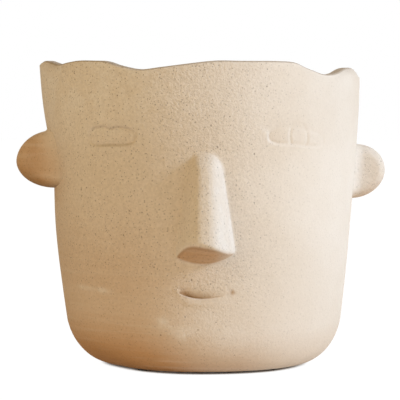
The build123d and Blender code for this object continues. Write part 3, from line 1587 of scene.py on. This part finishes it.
def add_surface(tree: Tree, shader: bpy.types.NodeSocket) -> None:
    """Ends a material's tree in a shader."""
    result = tree.add("ShaderNodeOutputMaterial")
    tree.feed(result.inputs["Surface"], shader)


class Effect:
    """A shader node group with a vector input and named inputs and outputs of values."""

    def __init__(self, name: str, inputs: dict[str, float], outputs: tuple[str, ...]) -> None:
        """Makes the empty group.

        Args:
            name: The group's name.
            inputs: Its value inputs with their defaults, besides Vector.
            outputs: Its value outputs.
        """
        self.group = bpy.data.node_groups.new(name, "ShaderNodeTree")
        face = self.group.interface
        face.new_socket("Vector", in_out="INPUT", socket_type="NodeSocketVector")
        for label, default in inputs.items():
            face.new_socket(label, in_out="INPUT", socket_type="NodeSocketFloat").default_value = default
        for label in outputs:
            face.new_socket(label, in_out="OUTPUT", socket_type="NodeSocketFloat")
        self.tree = Tree(self.group)
        self.source = self.tree.add("NodeGroupInput").outputs
        self.sink = self.tree.add("NodeGroupOutput").inputs

    def put(self, tree: Tree, vector: object, **values: float) -> bpy.types.NodeOutputs:
        """Places the group in a material.

        Args:
            tree: The material's tree.
            vector: The coordinates it reads.
            values: Its inputs by name, with spaces as underscores.

        Returns:
            The placed node's outputs.
        """
        node = tree.add("ShaderNodeGroup", node_tree=self.group)
        tree.feed(node.inputs["Vector"], vector)
        for name, value in values.items():
            node.inputs[name.replace("_", " ")].default_value = value
        return node.outputs


class IronSpecks(Effect):
    """Dots of iron in fired clay, each of its own size, scattered at one pitch."""

    least_share: float = 0.5
    soft_edge: Fade = (0.0, 0.45)

    def __init__(self) -> None:
        """Builds the group."""
        super().__init__("iron specks", {"Scale": 400, "Size": 0.2, "Share": 0.5}, ("Mask",))
        tree = self.tree
        dots = tree.add("ShaderNodeTexVoronoi")
        tree.feed(dots.inputs["Vector"], self.source["Vector"])
        tree.feed(dots.inputs["Scale"], self.source["Scale"])
        pick = tree.add("ShaderNodeSeparateColor")
        tree.feed(pick.inputs["Color"], dots.outputs["Color"])
        chosen = tree.math("LESS_THAN", pick.outputs["Red"], self.source["Share"])
        share = tree.math("ADD", pick.outputs["Green"], self.least_share)
        size = tree.math("MULTIPLY", self.source["Size"], share)
        inside = tree.math("DIVIDE", tree.math("SUBTRACT", size, dots.outputs["Distance"]), size, clamp=True)
        soft = tree.ramp(inside, *self.soft_edge)
        tree.feed(self.sink["Mask"], tree.math("MULTIPLY", soft, chosen))


class ClayTone(Effect):
    """Broad and narrow clouds of tone in a clay body."""

    broad_range: Fade = (0.32, 0.68)
    narrow_range: Fade = (0.3, 0.7)

    def __init__(self) -> None:
        """Builds the group."""
        super().__init__("clay tone", {"Broad": 14, "Narrow": 70}, ("Broad", "Narrow"))
        tree = self.tree
        broad = tree.noise(self.source["Vector"], self.source["Broad"], detail=3, rough=0.55)
        narrow = tree.noise(self.source["Vector"], self.source["Narrow"], detail=4, rough=0.6)
        tree.feed(self.sink["Broad"], tree.ramp(broad, *self.broad_range))
        tree.feed(self.sink["Narrow"], tree.ramp(narrow, *self.narrow_range))


class Grain(Effect):
    """Fine sandy grain, with pits, as a height and as a tone."""

    pit_range: Fade = (0.66, 0.74)
    pit_depth: float = 0.8
    sand_range: Fade = (0.25, 0.75)

    def __init__(self) -> None:
        """Builds the group."""
        scales = {"Scale": 1300, "Pit Scale": 420, "Sand Scale": 620}
        super().__init__("grain", scales, ("Height", "Tone", "Sand"))
        tree = self.tree
        fine = tree.noise(self.source["Vector"], self.source["Scale"], detail=3, rough=0.65)
        pits = tree.noise(self.source["Vector"], self.source["Pit Scale"])
        sunk = tree.ramp(pits, *self.pit_range, to=(0, self.pit_depth))
        tree.feed(self.sink["Height"], tree.math("SUBTRACT", fine, sunk))
        tree.feed(self.sink["Tone"], fine)
        sand = tree.noise(self.source["Vector"], self.source["Sand Scale"], rough=0.6)
        tree.feed(self.sink["Sand"], tree.ramp(sand, *self.sand_range))


class ToolMarks(Effect):
    """Faint level lines that a wet hand leaves as it goes round a pot."""

    stretch: tuple[float, float, float] = (0.04, 0.04, 1.0)

    def __init__(self) -> None:
        """Builds the group."""
        super().__init__("tool marks", {"Pitch": 260}, ("Height",))
        tree = self.tree
        flat = tree.scaled(self.source["Vector"], self.stretch)
        lines = tree.noise(flat, self.source["Pitch"], detail=3, rough=0.6)
        tree.feed(self.sink["Height"], lines)


class Effects:
    """The node groups that the finishes share."""

    def __init__(self) -> None:
        """Builds each group once."""
        self.specks = IronSpecks()
        self.tone = ClayTone()
        self.grain = Grain()
        self.marks = ToolMarks()


@dataclass(frozen=True)
class StonewareFinish:
    """Unglazed sandy stoneware: matt cream clay with iron specks, warm brown in its hollows by painted shade,
    partly a real flush.
    """

    cream: Colour = (0.810, 0.715, 0.615, 1)
    sand: Colour = (0.735, 0.620, 0.500, 1)
    # The flush and shade colour paints the warmth layer: painted shade and some real flush. The chalk and
    # highlight colour paints real dust and painted highlights. The darkening colour paints mostly painted
    # shade.
    flush_and_shade: Colour = (0.560, 0.330, 0.165, 1)
    iron: Colour = (0.115, 0.070, 0.040, 1)
    chalk_and_highlight: Colour = (0.860, 0.800, 0.740, 1)
    darkening: Colour = (0.240, 0.150, 0.075, 1)
    broad_share: float = 0.5
    narrow_share: float = 0.16
    streak_heights: Fade = (0.1, 0.6)
    streak_range: Fade = (0.6, 1.1)
    cloud_tones: Fade = (0.1, 0.8)
    pale_range: Fade = (0.35, 0.85)
    darkening_share: float = 0.8
    sand_share: float = 0.17
    tone_share: float = 0.08
    fine_share: float = 0.5
    coarse_share: float = 0.65
    coarse_grit: Fade = (0.0, 0.8)
    mark_height: float = 0.9
    sand_depth: float = 0.9
    speck_depth: float = 0.5
    relief: Fade = (0.10, 0.36)
    relief_height: float = 0.0006
    specular: float = 0.25
    grain_tones: Fade = (0.3, 0.7)
    roughness: Fade = (0.82, 0.96)

    def material(self, effects: Effects) -> bpy.types.Material:
        """Builds the material.

        Args:
            effects: The shared node groups.

        Returns:
            The material.
        """
        made, tree = new_material("stoneware")
        where = tree.add("ShaderNodeTexCoord").outputs["Object"]
        tone = effects.tone.put(tree, where)
        grain = effects.grain.put(tree, where)
        marks = effects.marks.put(tree, where)
        grit = tree.attribute(GRIT)
        fine = effects.specks.put(tree, where, Scale=620, Size=0.24, Share=0.8)["Mask"]
        coarse = effects.specks.put(tree, where, Scale=260, Size=0.12, Share=0.22)["Mask"]
        fine = tree.math("MULTIPLY", fine, grit)
        coarse = tree.math("MULTIPLY", coarse, tree.ramp(grit, *self.coarse_grit))
        streaks = tree.ramp(marks["Height"], *self.streak_heights, self.streak_range)
        stain_and_shade = tree.math("MULTIPLY", tree.attribute(WARMTH), streaks, clamp=True)
        clouds = tree.ramp(tone["Narrow"], *self.cloud_tones, self.pale_range)
        dust_and_highlight = tree.math("MULTIPLY", tree.attribute(DUST_AND_HIGHLIGHT), clouds, clamp=True)
        sandy = tree.math("MULTIPLY", grain["Sand"], grit)
        layers = (
            (tree.part(tone["Narrow"], self.narrow_share), self.sand),
            (stain_and_shade, self.flush_and_shade),
            (dust_and_highlight, self.chalk_and_highlight),
            (tree.part(tree.attribute(DARKENING), self.darkening_share), self.darkening),
            (tree.part(sandy, self.sand_share), self.iron),
            (tree.part(grain["Tone"], self.tone_share), self.iron),
            (tree.part(fine, self.fine_share), self.iron),
            (tree.part(coarse, self.coarse_share), self.iron),
        )
        colour = tree.mix(tree.part(tone["Broad"], self.broad_share), self.cream, self.sand)
        for share, over in layers:
            colour = tree.mix(share, colour, over)
        height = tree.math("MULTIPLY_ADD", marks["Height"], self.mark_height, grain["Height"])
        height = tree.math("SUBTRACT", height, tree.part(grain["Sand"], self.sand_depth))
        height = tree.math("SUBTRACT", height, tree.part(coarse, self.speck_depth))
        strength = tree.ramp(grit, 0.0, 1.0, self.relief)
        shader = tree.add("ShaderNodeBsdfPrincipled")
        shader.inputs["Specular IOR Level"].default_value = self.specular
        tree.feed(shader.inputs["Base Color"], colour)
        dull = tree.ramp(grain["Tone"], *self.grain_tones, self.roughness)
        tree.feed(shader.inputs["Roughness"], dull)
        tree.feed(shader.inputs["Normal"], add_bump(tree, strength, self.relief_height, height))
        add_surface(tree, shader.outputs["BSDF"])
        return made


@dataclass(frozen=True)
class RubberFinish:
    """Moulded rubber: matt, with a bloom of dust on it."""

    name: str
    colour: Colour
    bloom: Colour
    bloom_share: float = 0.35
    relief: float = 0.2
    relief_height: float = 0.0002
    roughness: Fade = (0.55, 0.8)

    def material(self, effects: Effects) -> bpy.types.Material:
        """Builds the material.

        Args:
            effects: The shared node groups.

        Returns:
            The material.
        """
        made, tree = new_material(self.name)
        where = tree.add("ShaderNodeTexCoord").outputs["Object"]
        tone = effects.tone.put(tree, where, Broad=90, Narrow=320)
        grain = effects.grain.put(tree, where, Scale=2200, Pit_Scale=900)
        cloud = tree.math("MULTIPLY", tone["Broad"], tone["Narrow"])
        normal = add_bump(tree, self.relief, self.relief_height, grain["Height"])
        shader = tree.add("ShaderNodeBsdfPrincipled")
        bloomed = tree.part(cloud, self.bloom_share)
        tree.feed(shader.inputs["Base Color"], tree.mix(bloomed, self.colour, self.bloom))
        tree.feed(shader.inputs["Roughness"], tree.ramp(cloud, 0, 1, self.roughness))
        tree.feed(shader.inputs["Normal"], normal)
        add_surface(tree, shader.outputs["BSDF"])
        return made


@dataclass(frozen=True)
class Lamp:
    """A soft round lamp, its angles from the front and the horizon in degrees, its power in watts."""

    name: str
    turn: float
    rise: float
    distance: float
    size: float
    power: float
    colour: tuple[float, float, float]


@dataclass
class Studio:
    """A pale floor, a white surround, soft lamps and the camera."""

    camera_distance: float = 1.30
    camera_height: float = 0.1734
    camera_turn: float = math.radians(-1.5)
    aim_level: float = 0.1074
    aim_x: float = 0.0001
    lens: float = 177.0
    sensor: float = 36.0
    floor_size: float = 14.0
    floor_white: float = 0.92
    floor_glow: float = 1.08
    contact: float = 0.050
    contact_range: Fade = (0.02, 0.11)
    contact_samples: int = 64
    floor_tint: Colour = (0.95, 0.86, 0.76, 1)
    surround: Colour = (1.08, 0.76, 0.35, 1)
    surround_above: Colour = (1.20, 1.02, 0.74, 1)
    surround_heights: Fade = (-0.1, 0.8)
    surround_strength: float = 0.36
    white: Colour = (1, 1, 1, 1)
    lamps: tuple[Lamp, ...] = (
        Lamp("key", 66, 23, 1.7, 0.45, 24.2, (0.668, 0.838, 1.06)),
        Lamp("fill", -35, 20, 2.0, 1.6, 8.9, (1.0, 0.755, 0.37)),
    )

    def build(self, form: ClayForm) -> None:
        """Sets up everything round the object.

        Args:
            form: The head, whose axis the camera is placed by.
        """
        self.axis = Vector((self.aim_x, form.middle_y, self.aim_level))
        self.camera()
        self.floor()
        self.world()
        for lamp in self.lamps:
            self.hang(lamp)
        bpy.context.scene.view_settings.view_transform = "Standard"

    def around(self, turn: float, height: float, distance: float) -> Vector:
        """A point round the object, by its angle from the front, its height and its distance."""
        across = self.axis.x + distance * math.sin(turn)
        return Vector((across, self.axis.y - distance * math.cos(turn), height))

    def camera(self) -> None:
        """Makes the camera at the photograph's place, and looks through it."""
        data = bpy.data.cameras.new("camera")
        data.lens = self.lens
        data.sensor_width = self.sensor
        camera = bpy.data.objects.new("camera", data)
        self.aim(camera, self.around(self.camera_turn, self.camera_height, self.camera_distance))
        bpy.context.scene.camera = camera

    def aim(self, thing: bpy.types.Object, where: Vector) -> None:
        """Puts a camera or a lamp in its place, facing the object.

        Args:
            thing: The camera or lamp, not linked yet.
            where: Its place.
        """
        bpy.context.scene.collection.objects.link(thing)
        thing.location = where
        thing.rotation_euler = (self.axis - thing.location).to_track_quat("-Z", "Y").to_euler()

    def hang(self, lamp: Lamp) -> None:
        """Hangs a lamp that faces the object.

        Args:
            lamp: Its place, size and light.
        """
        data = bpy.data.lights.new(lamp.name, "AREA")
        data.shape = "DISK"
        data.size = lamp.size
        data.energy = lamp.power
        data.color = lamp.colour
        up = math.radians(lamp.rise)
        height = self.axis.z + lamp.distance * math.sin(up)
        where = self.around(math.radians(lamp.turn), height, lamp.distance * math.cos(up))
        self.aim(bpy.data.objects.new(lamp.name, data), where)

    def floor(self) -> None:
        """Lays the floor, which the camera sees as white with a soft shadow."""
        mesh = bmesh.new()
        bmesh.ops.create_grid(mesh, x_segments=1, y_segments=1, size=self.floor_size / 2)
        floor = new_piece("floor", mesh)
        made, tree = new_material("floor")
        diffuse = tree.add("ShaderNodeBsdfDiffuse")
        diffuse.inputs["Color"].default_value = self.floor_tint
        glow = tree.add("ShaderNodeEmission")
        glow.inputs["Strength"].default_value = self.floor_glow
        near = tree.add("ShaderNodeAmbientOcclusion", samples=self.contact_samples)
        near.inputs["Distance"].default_value = self.contact
        open_floor = tree.ramp(near.outputs["AO"], *self.contact_range)
        share = tree.math("MULTIPLY", tree.part(self.seen(tree), self.floor_white), open_floor)
        mixed = tree.add("ShaderNodeMixShader")
        tree.feed(mixed.inputs[0], share)
        tree.feed(mixed.inputs[1], diffuse.outputs["BSDF"])
        tree.feed(mixed.inputs[2], glow.outputs["Emission"])
        add_surface(tree, mixed.outputs["Shader"])
        floor.data.materials.append(made)

    def seen(self, tree: Tree) -> bpy.types.NodeSocket:
        """Tells apart the rays that show the surround to the camera.

        Args:
            tree: The material's or world's tree.

        Returns:
            1 for such rays, straight or by gloss or glass, and otherwise 0.
        """
        path = tree.add("ShaderNodeLightPath").outputs
        mirrored = tree.math("MAXIMUM", path["Is Glossy Ray"], path["Is Transmission Ray"])
        return tree.math("MAXIMUM", path["Is Camera Ray"], mirrored)

    def world(self) -> None:
        """Makes the surround: white to the camera, and a plain warm light on the object."""
        world = bpy.data.worlds.new("surround")
        world.use_nodes = True
        world.node_tree.nodes.clear()
        tree = Tree(world.node_tree)
        seen = self.seen(tree)
        backdrop = tree.add("ShaderNodeBackground")
        split = tree.add("ShaderNodeSeparateXYZ")
        tree.feed(split.inputs["Vector"], tree.add("ShaderNodeTexCoord").outputs["Generated"])
        above = tree.ramp(split.outputs["Z"], *self.surround_heights)
        light = tree.mix(above, self.surround, self.surround_above)
        tree.feed(backdrop.inputs["Color"], tree.mix(seen, light, self.white))
        dim = tree.math("MULTIPLY_ADD", seen, 1 - self.surround_strength, self.surround_strength)
        tree.feed(backdrop.inputs["Strength"], dim)
        result = tree.add("ShaderNodeOutputWorld")
        tree.feed(result.inputs["Surface"], backdrop.outputs["Background"])
        bpy.context.scene.world = world


def main() -> None:
    """Builds the pieces in order, dresses them and sets up the studio."""
    logging.basicConfig(level=logging.INFO)
    form = ClayForm()
    nose = Nose(form)
    effects = Effects()
    left_ear = Ear(form, Side.LEFT, "left_ear", top_blend=0.001)
    right_ear = Ear(
        form,
        Side.RIGHT,
        "right_ear",
        reach=0.0240,
        lower_share=0.82,
        upper_power=1.75,
        flush_and_shade=0.72,
        front_blend=0.012,
    )
    finishes = {
        Slot.STONEWARE: StonewareFinish(),
        Slot.PLUG: RubberFinish("plug rubber", (0.045, 0.042, 0.040, 1), (0.16, 0.15, 0.14, 1)),
        Slot.PAD: RubberFinish("pad rubber", (0.020, 0.020, 0.020, 1), (0.09, 0.09, 0.09, 1)),
    }
    materials = {slot: finish.material(effects) for slot, finish in finishes.items()}
    makers = (
        (HeadWall(form, nose), Body.POT, Slot.STONEWARE, "head_wall"),
        (nose, Body.POT, Slot.STONEWARE, "nose"),
        (left_ear, Body.POT, Slot.STONEWARE, "left_ear"),
        (right_ear, Body.POT, Slot.STONEWARE, "right_ear"),
        (FloorSlab(), Body.POT, Slot.STONEWARE, "floor_slab"),
        (DrainPlug(), Body.PLUG, Slot.PLUG, "drain_plug"),
        (FootPads(), Body.POT, Slot.PAD, "foot_pads"),
    )
    for maker, body, slot, node in makers:
        piece = maker.build()
        piece.data.materials.append(materials[slot])
        hand_over(piece, body, slot, node)
    Studio().build(form)


if __name__ == "__main__":
    main()
